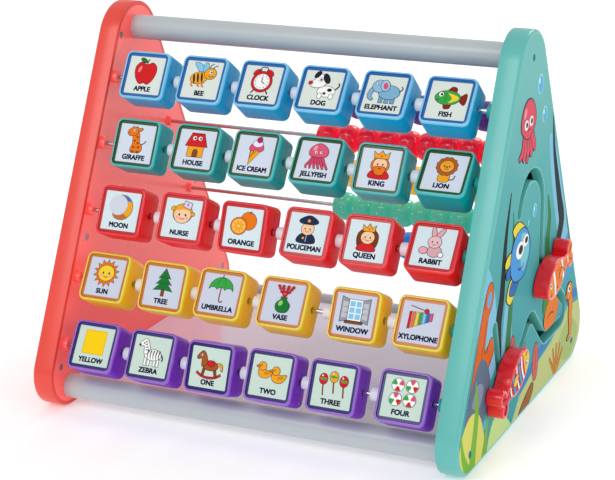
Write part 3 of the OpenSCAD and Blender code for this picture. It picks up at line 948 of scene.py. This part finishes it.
def zebra(p):
    for x in (-3.6, -1, 3.4, 5.8):
        p.edged(WHITE, box_shape(x - 0.7, -6.4, x + 0.7, 0))
    p.edged(WHITE, oval(1.4, 1, 6.2, 3.6))
    p.edged(WHITE, blob((-5, 1), (-1.6, 3.4), (-3, 8.6), (-5.4, 11), (-9.6, 7.4), (-8.8, 5.8),
                        (-6, 6.2)))
    for k in range(5):
        p.line([(-2 + 2.1 * k, 4), (-2.6 + 2.1 * k, 1), (-2 + 2.1 * k, -1.8)], (0.9, 0.3))
    for k in range(4):
        p.line([(-2.2 - 0.8 * k, 4 + 1.9 * k), (-4.8 - 0.3 * k, 3.6 + 1.6 * k)], (0.8, 0.3))
    p.line([(7.4, 2), (9, -0.6), (8.6, -2.4)], 0.7)
    p.add(DARK, oval(-6.4, 8, 0.5), oval(-9, 6.7, 0.7))


def rocking_horse(p):
    p.edged(RED, stroke([(-8.6, -3.6), (-4.6, -5.8), (0, -6.4), (4.6, -5.8), (8.6, -3.6)], 1.2))
    for x in (-3.4, 3.8):
        p.edged(BROWN, stroke([(x, 0), (x * 1.35, -5.4)], 1.6))
    p.edged("A8572A", oval(0.6, 1.4, 5.6, 3))
    p.edged("A8572A", blob((-5.4, 0.6), (-1.8, 3), (-3.4, 8.6), (-6, 10.4), (-9.4, 6.4), (-8.4, 5),
                           (-6, 5.6)))
    p.edged(RED, blob((-1.2, 4.4), (3.4, 4.4), (2.6, 1.4), (-0.6, 1.4)))
    p.edged(GOLD, stroke([(5.8, 2.6), (8.6, 2.6), (9.2, -1)], (1.8, 0.8)))
    p.eye(-6, 7.8, 0.7)


def duck(p, x, y, k):
    p.edged(GOLD, blob(*[(x + k * a, y + k * b) for a, b in (
        (-5, 0.6), (-3, -3.6), (3, -3.6), (6, 1.6), (2, 1), (-2, 1.8))]))
    p.edged(GOLD, oval(x - 2.2 * k, y + 3.6 * k, 2.8 * k))
    p.edged(ORANGE, oval(x - 5.2 * k, y + 3.2 * k, 1.3 * k, 0.7 * k))
    p.add(DARK, oval(x - 3 * k, y + 4.2 * k, 0.45 * k))
    p.add("D98A1C", oval(x + 1.6 * k, y - 0.6 * k, 2.4 * k, 1.2 * k, 15))


def ducks(p):
    duck(p, -4.2, 2.6, 0.95)
    duck(p, 5.6, 0.6, 0.95)


def rattles(p):
    for x, y, code in ((-7, 1.4, RED), (0, 3.4, GOLD), (7, 1.4, RED)):
        p.line([(x, y), (x + 0.8, y - 7.4)], 1.0, BROWN)
        p.edged(code, oval(x, y + 3, 2.8, 3.4))
        p.add(GREEN, oval(x, y + 3, 2.6, 0.8))
        p.add(WHITE, oval(x - 0.9, y + 5, 0.5))


def balls(p):
    for x, y, k in ((-4.6, 7.4, 0), (4.8, 7.6, 1), (-4.8, -1.6, 1), (4.6, -1.4, 0)):
        p.edged(WHITE, oval(x, y, 4))
        for n in range(3):
            a = 120 * n + 60 * k
            sector = [(x, y)] + arc(x, y, 3.9, 3.9, a, a + 60, 6)
            p.add((PINK, GREEN, RED)[n], sector)
        p.add(WHITE, oval(x, y, 0.9))


LABELS = (
    ("a", "APPLE", apple), ("b", "BEE", bee), ("c", "CLOCK", clock), ("d", "DOG", dog),
    ("e", "ELEPHANT", elephant), ("f", "FISH", fish_picture), ("g", "GIRAFFE", giraffe),
    ("h", "HOUSE", house), ("i", "ICE CREAM", ice_cream), ("j", "JELLYFISH", jellyfish),
    ("k", "KING", king), ("l", "LION", lion), ("m", "MOON", moon), ("n", "NURSE", nurse),
    ("o", "ORANGE", orange), ("p", "POLICEMAN", policeman), ("q", "QUEEN", queen),
    ("r", "RABBIT", rabbit), ("s", "SUN", sun), ("t", "TREE", tree), ("u", "UMBRELLA", umbrella),
    ("v", "VASE", vase), ("w", "WINDOW", window), ("x", "XYLOPHONE", xylophone),
    ("y", "YELLOW", yellow), ("z", "ZEBRA", zebra), ("one", "ONE", rocking_horse),
    ("two", "TWO", ducks), ("three", "THREE", rattles), ("four", "FOUR", balls))
BACK_SIGNS = {"one": "1", "two": "2", "three": "3", "four": "4"}


# -------- labels on the blocks

LAYER = 0.015 * MM
GROUND = 0.05 * MM
CARD = rounded_square(15, 14.8, 0.6, 2)
PICTURE_SCALE = 1.12
CAPTION_SIZE = 5.2
CAPTION_Y = -10.9
SIGN_SIZE = 24
# Captions are drawn several times with these shifts, in millimetres, which thickens their strokes
BOLD = ((-0.24, -0.22), (0.24, -0.22), (-0.24, 0.22), (0.24, 0.22), (0, 0))


def text_mesh(text, size, weight):
    """Flat lettering in Blender's own plain typeface, as one closed solid per letter."""
    curve = bpy.data.curves.new("text", "FONT")
    curve.body, curve.size, curve.offset = text, size, weight
    curve.align_x, curve.align_y = "CENTER", "CENTER"
    curve.extrude, curve.resolution_u = 0.5, 3
    holder = bpy.data.objects.new("text", curve)
    scene.collection.objects.link(holder)
    graph = bpy.context.evaluated_depsgraph_get()
    mesh = bpy.data.meshes.new_from_object(holder.evaluated_get(graph))
    bpy.data.objects.remove(holder)
    return mesh


def add_text(bm, text, x, y, size, high, to_world, index, weight=0.0, squeeze=1.0):
    part = bmesh.new()
    part.from_mesh(text_mesh(text, size, weight))
    bmesh.ops.remove_doubles(part, verts=part.verts[:], dist=1e-4)
    for v in part.verts:
        v.co = to_world(x + v.co.x * squeeze, y + v.co.y, high if v.co.z > 0 else 0)
    for f in part.faces:
        f.material_index = index
    mesh = bpy.data.meshes.new("letters")
    part.to_mesh(mesh)
    part.free()
    bm.from_mesh(mesh)
    bpy.data.meshes.remove(mesh)


def front_of(matrix):
    return lambda x, y, h: matrix @ Vector((x * MM, -(LABEL_DEPTH + h), y * MM))


def back_of(matrix):
    return lambda x, y, h: matrix @ Vector((-x * MM, LABEL_DEPTH + h, y * MM))


def label(node, word, draw, ground, side_code):
    """The printed cards in a block's two faces: a picture in front, a big sign behind."""
    picture = Picture()
    draw(picture)
    matrix = block_matrix(node)
    codes = sorted({code for code, _ in picture.shapes} | {ground, CAPTION, side_code})
    bm = bmesh.new()
    front, back = front_of(matrix), back_of(matrix)
    for side in (front, back):
        add_prism(bm, CARD, -GROUND, GROUND, side, codes.index(ground))
    for level, (code, outline) in enumerate(picture.shapes):
        larger = [(x * PICTURE_SCALE, (y - 2.5) * PICTURE_SCALE + 2.8) for x, y in outline]
        add_prism(bm, larger, 0, GROUND + LAYER * (level + 1), front, codes.index(code))
    squeeze = min(1.0, 26 / (3.1 * len(word)))
    for k, (dx, dy) in enumerate(BOLD):
        add_text(bm, word, dx, dy + CAPTION_Y, CAPTION_SIZE, GROUND + LAYER * (k + 1), front,
                 codes.index(CAPTION), squeeze=squeeze)
    sign = BACK_SIGNS.get(node[6:], node[6:].upper())
    add_text(bm, sign, 0, 0, SIGN_SIZE, GROUND + LAYER, back, codes.index(side_code), weight=0.5)
    piece = finish_mesh(node + "_labels", bm, [ink(code) for code in codes], 20.0)
    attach(piece, node)


for row, style in enumerate(BLOCK_STYLES):
    slot_name, _, _, frame_colour, ground = style
    shape = block_mesh(*style[:4])
    for key, word, draw in LABELS[6 * row:6 * row + 6]:
        node = "block_" + key
        body = bpy.data.objects.new(node + "_shape", shape.copy())
        scene.collection.objects.link(body)
        body.data.transform(block_matrix(node))
        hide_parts(node)
        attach(body, node)
        label(node, word, draw, ground, frame_colour)


# -------- prints on flat faces

def plate(outline, x0, x1, name="plate"):
    bm = bmesh.new()
    stack_rings(bm, [[(x, y, z) for y, z in outline] for x in (x0, x1)])
    return finish_mesh(name, bm, [])


def face_print(name, x, outline, holes, ground, shapes, layer, body):
    """Prints flat shapes, in metres, on a face at x, cut to its outline and round its holes."""
    mask = plate(outline, x - 0.1 * MM, x + 3 * MM, "mask")
    sheet = plate(outline, x - 0.02 * MM, x + layer)
    for hole in holes:
        carve(mask, plate(hole, x - MM, x + 4 * MM))
        carve(sheet, plate(hole, x - MM, x + 4 * MM))
    codes = sorted({code for code, _ in shapes})
    bm = bmesh.new()
    bm.from_mesh(sheet.data)
    bpy.data.objects.remove(sheet)
    for level, (code, shape) in enumerate(shapes):
        part = plate(shape, x - 0.01 * MM, x + layer * (level + 2))
        cutter = bpy.data.objects.new("cutter", mask.data)
        scene.collection.objects.link(cutter)
        carve(part, cutter, "INTERSECT")
        for polygon in part.data.polygons:
            polygon.material_index = codes.index(code) + 1
        bm.from_mesh(part.data)
        bpy.data.objects.remove(part)
    bpy.data.objects.remove(mask)
    piece = finish_mesh(name, bm, [ground] + [ink(code) for code in codes], 20.0)
    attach(piece, body)
    return piece


def weed(*points, widths=(1.5, 8.0, 12.0, 9.0)):
    return stroke(list(points), widths)


def sea_scene():
    """A generic sea bed: weeds, coral, rock, bubbles, an octopus, a small fish and a seahorse."""
    p = Picture()
    p.add("7FC0DE", blob((44, 206), (60, 196), (84, 150), (106, 106), (86, 96), (66, 136),
                         (50, 176)),
          blob((-96, 140), (-80, 128), (-70, 100), (-66, 72), (-84, 56), (-112, 80)),
          blob((-50, 108), (-38, 98), (-35, 60), (-44, 40), (-58, 58)))
    p.add("4C9AC6", blob((70, 92), (100, 74), (122, 92), (110, 116), (92, 108)))
    p.line([(150, 53), (126, 55), (108, 58), (90, 48), (60, 40), (30, 35), (-13, 22)], 8, "3A80B8")
    p.add("BFC884", [(150, 45), (126, 47), (108, 50), (92, 42), (62, 34), (31, 29), (-13, 18),
                     (-40, -5), (160, -5)])
    p.add("A9BC74", blob((84, 26), (112, 38), (140, 20), (118, 4), (96, 8)))
    for points in (((52, 222), (56, 195), (66, 168), (75, 147), (82, 129), (73, 112), (70, 96)),
                   ((-44, 184), (-54, 152), (-60, 112), (-66, 92), (-64, 60))):
        p.add("0E2224", weed(*points, widths=(1.5, 9.0, 14.0, 11.0)))
    p.add("2E7D4A", weed((-38, 168), (-36, 132), (-40, 95), (-45, 62), (-44, 40)),
          weed((44, 160), (50, 140), (46, 120), (52, 100)),
          weed((92, 158), (98, 132), (110, 106), (106, 84)))
    p.edged("D9651E", stroke([(-112, 52), (-104, 84), (-95, 108), (-88, 118)], (30, 17, 14, 16)),
            oval(-87, 119, 8, 11, -20), stroke([(-108, 62), (-94, 72), (-84, 78)], (24, 17, 14)),
            oval(-83, 79, 7, 9, -30), line=0.8)
    p.add("D9651E", stroke([(-110, 50), (-103, 84), (-92, 112)], (26, 15, 12)),
          stroke([(-106, 63), (-88, 75)], (20, 13)))
    p.line([(-108, 54), (-100, 84), (-92, 104)], 1.0, "8E3A12")
    p.add("5FA9DC", oval(-87, 118, 4, 6, -25))
    p.add("5F7389", blob((-134, 40), (-122, 62), (-106, 78), (-92, 74), (-82, 56), (-88, 36),
                         (-112, 26)))
    p.add("8494A8", blob((-120, 50), (-108, 62), (-96, 56), (-104, 44)))
    p.add("D9D668", blob((-150, -4), (-142, 30), (-124, 44), (-104, 38), (-92, 14), (-96, -6)))
    p.add("79B43C", weed((-112, 66), (-110, 40), (-116, 14), (-120, -6), widths=(1, 9, 12, 16)),
          weed((-142, 40), (-138, 22), (-130, 8), (-118, -4), widths=(1, 6, 9, 12)),
          weed((-84, 34), (-88, 20), (-92, 6), (-98, -6), widths=(1, 6, 9, 10)))
    p.add("C4DD8E", blob((-84, -4), (-78, 18), (-60, 24), (-40, 10), (-30, -6)))
    p.add("5FB4E4", oval(-92, 26, 3, 4))
    for y, top in ((-34, 72), (-9, 65), (24, 47)):
        p.edged("C8645C", blob((y - 4, top - 28), (y - 7, top - 12), (y - 1, top), (y + 5, top - 3),
                               (y + 7, top - 16), (y + 4, top - 28)), line=0.6)
        p.line([(y, top - 22), (y + 1, top - 6)], 1.0, "8E3A36")
    p.edged("A0622E", blob((-18, -2), (-10, 6), (4, 13), (17, 17), (20, 12), (8, 3)), line=0.8)
    for a in (0.7, 1.1, 1.5, 1.9, 2.3):
        tip = (78 + 25 * math.cos(a), 1 + 27 * math.sin(a))
        p.add("C68A34", stroke([(78, 2), tip], (6, 3))).line([(78, 4), tip], 0.8, "8E5A1E")
    for y, z, r in ((17, 250, 6.5), (29, 225, 5.5), (12, 156, 4.5), (-2, 150, 2), (64, 232, 2.5)):
        p.add("A9DDE6", oval(y, z, r, 1.15 * r)).add("5BB2DE", oval(y + 0.5, z - 0.5, 0.8 * r, r))
        p.add("D8F2F4", oval(y - 0.35 * r, z + 0.4 * r, 0.22 * r, 0.35 * r))
    sea_octopus(p, -9, 222)
    sea_fish(p, -22, 130)
    p.edged("E58A2C", stroke([(110, 60), (115, 51), (114, 41), (116, 31), (114, 23), (108, 21)],
                             (9, 10, 8, 6, 4, 2)), oval(110, 62, 8, 7),
            stroke([(104, 60), (96, 55)], (5, 3)),
            line=0.7)
    p.eye(109, 64, 3)
    p.add("3F8C3A", blob((40, 66), (42, 78), (54, 80), (60, 72), (50, 62)))
    p.edged("E07B24", blob((46, 48), (43, 60), (52, 71), (66, 74), (79, 68), (77, 55), (60, 45)),
            line=0.7)
    p.line(arc(60, 56, 8, 4, 160, 20, 8), 1.4, "8E3A12", False)
    return p


def placed(p, q, y, z, wide):
    """Adds drawing q to p at (y, z), stretched sideways."""
    p.shapes += [(code, [(y + wide * a, z + b) for a, b in shape]) for code, shape in q.shapes]


def sea_octopus(p, y, z):
    q = Picture()
    for k in range(5):
        a = -14 + 7 * k
        q.edged("DC4F64", stroke([(0.5 * a, -4), (0.8 * a + 1, -14),
                                  (1.1 * a - 2, -24 + abs(a) * 0.4)],
                                 (7, 6, 3)), line=0.7)
    q.edged("DC4F64", blob((-14, 2), (-11, 16), (0, 22), (11, 16), (14, 2), (0, -7)), line=0.8)
    q.add("F2A0A8", oval(-7, 13, 2, 4, -30))
    q.eye(-4.5, 4, 3.8).eye(5, 5, 3.8)
    q.line(arc(1, -2, 3, 2, 20, 160, 8), 0.9, "8E1F30", False)
    placed(p, q, y, z, 1.15)


def sea_fish(p, y, z):
    q = Picture()
    q.edged("E8D63C", blob((-4, 14), (-12, 24), (-2, 27), (8, 18)),
            blob((-14, -12), (-20, -24), (-13, -30), (-4, -18)), oval(-18, 4, 6, 4, 30), line=0.7)
    q.edged("2F6FB4", blob((-12, -14), (-16, -22), (-8, -25), (-1, -17)), oval(-17, -5, 5, 4, 40),
            line=0.6)
    q.edged("4A9BDC", blob((-15, 0), (-8, 17), (8, 19), (17, 2), (8, -16), (-9, -15)), line=0.9)
    q.add("7CC8D0", blob((2, 16), (12, 12), (15, -2), (6, -13), (1, -2)))
    q.eye(0, 5, 6.4).eye(9.5, 9, 4.6)
    q.line(arc(2, -6, 5, 4, 200, 340, 8), 1.0, NAVY, False)
    placed(p, q, y, z, 1.4)


face_outline, slot_outline, *screw_holes = loops_at("right_shell", FACE_X)
sea_print_ground = sea_print("sea_print", 0.0, left_high.z)
face_print("sea_print_sheet", FACE_X, offset_loop(face_outline, -2.9 * MM),
           [offset_loop(slot_outline, 1.0 * MM)] + [offset_loop(h, 0.6 * MM) for h in screw_holes],
           sea_print_ground,
           [(code, [(y * MM, z * MM) for y, z in shape]) for code, shape in sea_scene().shapes],
           0.004 * MM, "frame")


# -------- the two sliding fish

FISH_TILT = {"upper_fish": 17, "lower_fish": 201}
FISH_EDGE = 1.0 * MM
STICKER_ROOM = 0.6 * MM
FISH_ART_SCALE = 0.865
# The fish body's glow is painted light: emission that brightens its sides without a lamp.
fish_red = plastic("fish_red", "E63A40", rough=0.22, coat=0.4, spread=0.03, painted_glow=0.15)
sticker_white = printed("sticker_white", "F8F6F2", 0.25)


def fish_body(node):
    low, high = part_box(node)
    outline = loops_at(node, high.x)[0]
    face_x = high.x - STICKER_ROOM
    bm = bmesh.new()
    rings = []
    for x, inset in ((low.x, 0.4 * MM), (low.x + 0.4 * MM, 0)):
        rings.append([(x, y, z) for y, z in offset_loop(outline, -inset)])
    for k in range(6):
        a = math.radians(90 * k / 5)
        ring = offset_loop(outline, -FISH_EDGE * (1 - math.cos(a)))
        rings.append([(face_x - FISH_EDGE * (1 - math.sin(a)), y, z) for y, z in ring])
    stack_rings(bm, rings)
    piece = finish_mesh(node + "_shape", bm, [fish_red], 40.0)
    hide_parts(node)
    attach(piece, node)
    return outline, face_x


def fish_sticker(node, p, outline, x):
    pin = joints[node + "_spin"]["pos_m"]
    c, s = math.cos(math.radians(FISH_TILT[node])), math.sin(math.radians(FISH_TILT[node]))
    size = FISH_ART_SCALE * MM
    shapes = [(code, [(pin[1] + (a * c - b * s) * size, pin[2] + (a * s + b * c) * size)
                      for a, b in shape]) for code, shape in p.shapes]
    face_print(node + "_sticker", x, offset_loop(outline, -2.0 * MM), [], sticker_white, shapes,
               0.012 * MM, node)


def band(x, width, code):
    """A curved stripe across a fish, dark-edged."""
    points = [(x - 3, 18), (x, 0), (x - 3, -18)]
    return [(DARK, stroke(points, width + 1.2)), (code, stroke(points, width))]


def fish_art(body_code, bands, face_code):
    p = Picture()
    p.add(body_code, box_shape(-36, -16.5, 36, 16.5))
    p.add(face_code, box_shape(-37, -16, -22, 16))
    for x, width, code in bands:
        p.shapes += band(x, width, code)
    for x, y in ((-6, 6), (-3, -4), (8, 3), (11, -5), (-12, -8), (16, 5)):
        p.add(DARK, oval(x, y, 0.9))
    p.eye(-28, 3.4, 2.8)
    p.line(arc(-31, -3.5, 3.4, 2.4, 220, 350, 8), 0.8, DARK, False)
    p.edged(face_code, blob((-6, -2), (2, 3), (7, -1), (1, -5)), line=0.5)
    for s in (-1, 1):
        p.line([(26, 3 * s), (33, 8 * s)], 0.7)
    return p


for node, art in (
        ("upper_fish", fish_art("EE7A22", ((-17, 4.5, WHITE), (6, 4, WHITE), (21, 2.5, WHITE)),
                                "F08C30")),
        ("lower_fish", fish_art("D8323A", ((-16, 3, WHITE), (-10, 3.5, "5A9FD4"), (-3, 2.5, WHITE),
                                           (6, 4, "5A9FD4"), (14, 2.5, WHITE)), "EDC53C"))):
    outline, face_x = fish_body(node)
    fish_sticker(node, art, outline, face_x)


# -------- floor, light and camera

def floor():
    bm = bmesh.new()
    bmesh.ops.create_circle(bm, cap_ends=True, segments=96, radius=5.0)
    material, tree, bsdf = new_material("floor")
    vector = place_coordinates(tree)
    vary_colour(tree, bsdf, vector, rgb("F8F8F8"), 0.01, 1.5)
    bsdf.inputs["Roughness"].default_value = 0.6
    bsdf.inputs["Emission Color"].default_value = (1, 1, 1, 1)
    bsdf.inputs["Emission Strength"].default_value = 0.28
    piece = finish_mesh("floor", bm, [material])
    for face in piece.data.polygons:
        face.use_smooth = False


def area_light(name, place, target, size, power):
    light = bpy.data.lights.new(name, "AREA")
    light.shape, light.size, light.energy = "DISK", size, power
    holder = bpy.data.objects.new(name, light)
    holder.location = place
    holder.rotation_mode = "QUATERNION"
    holder.rotation_quaternion = (Vector(target) - Vector(place)).to_track_quat("-Z", "Y")
    scene.collection.objects.link(holder)


floor()
AIM = Vector((-0.01495, 0.0, 0.11453))
area_light("key", (-0.6, -2.2, 1.9), AIM, 1.4, 18)
area_light("side", (2.4, -1.0, 0.7), AIM, 1.4, 8)
area_light("back", (0.3, 1.8, 1.6), AIM, 1.2, 14)
world = bpy.data.worlds.new("studio")
world.use_nodes = True
world.node_tree.nodes["Background"].inputs["Color"].default_value = (1, 1, 1, 1)
world.node_tree.nodes["Background"].inputs["Strength"].default_value = 0.64
scene.world = world
scene.view_settings.view_transform = "Standard"

AZIMUTH, ELEVATION, ROLL = (math.radians(a) for a in (24.88, 17.48, -0.61))
DISTANCE = 1.37427
camera = bpy.data.cameras.new("camera")
camera.sensor_fit, camera.sensor_width, camera.lens = "HORIZONTAL", 36.0, 103.287
camera.clip_start, camera.clip_end = 0.05, 50.0
viewer = bpy.data.objects.new("camera", camera)
away = Vector((math.sin(AZIMUTH) * math.cos(ELEVATION), -math.cos(AZIMUTH) * math.cos(ELEVATION),
               math.sin(ELEVATION)))
viewer.rotation_mode = "QUATERNION"
viewer.rotation_quaternion = (-away).to_track_quat("-Z", "Y") @ Quaternion((0, 0, 1), ROLL)
viewer.location = AIM + away * DISTANCE
scene.collection.objects.link(viewer)
scene.camera = viewer
